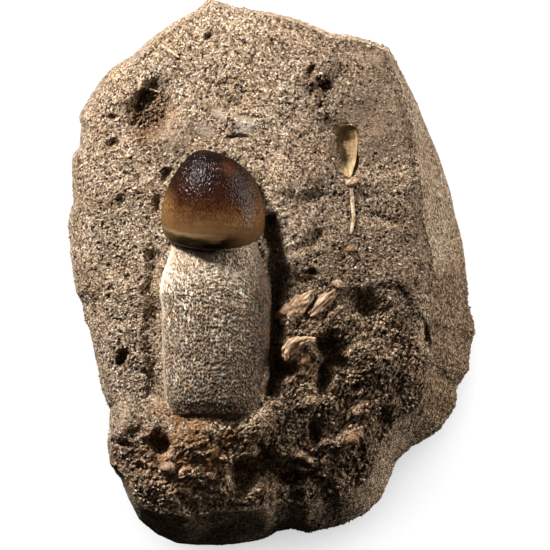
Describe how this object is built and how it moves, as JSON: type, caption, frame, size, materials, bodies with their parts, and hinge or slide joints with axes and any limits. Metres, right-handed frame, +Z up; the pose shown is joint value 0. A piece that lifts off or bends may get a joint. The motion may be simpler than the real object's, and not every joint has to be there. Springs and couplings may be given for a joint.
{
  "type": "fossil mosasaur tooth in matrix",
  "caption": "Rounded crushing tooth with a dark domed crown and a pale porous root, lying half free of a lump of sandy rock that rests on a flat cut underside.",
  "frame": {"origin": "middle of the flat cut underside that the rock rests on", "axes": "+X to the right of the tooth as it is looked down on, +Y from the root to the crown along the rock's length, +Z up out of the rock through the face that shows the tooth"},
  "size_m": [0.0995, 0.1328, 0.0488],
  "materials": {
    "sandstone": "matte",
    "enamel": "gloss",
    "spongy_bone": "matte",
    "fossil_bone": "matte",
    "shell": "satin",
    "dark_tooth": "satin"
  },
  "bodies": {
    "root": {"matrix": "sandstone", "tooth_crown": "enamel", "tooth_root": "spongy_bone", "bone_fragment_long": "fossil_bone", "bone_fragment_thin": "fossil_bone", "bone_fragment_short": "fossil_bone", "bone_chip": "fossil_bone", "fish_tooth": "dark_tooth", "fish_bone": "shell", "pebble_pale": "shell", "pebble_cream": "shell", "pebble_tan": "shell", "shell_chip": "shell"}
  },
  "joints": []
}
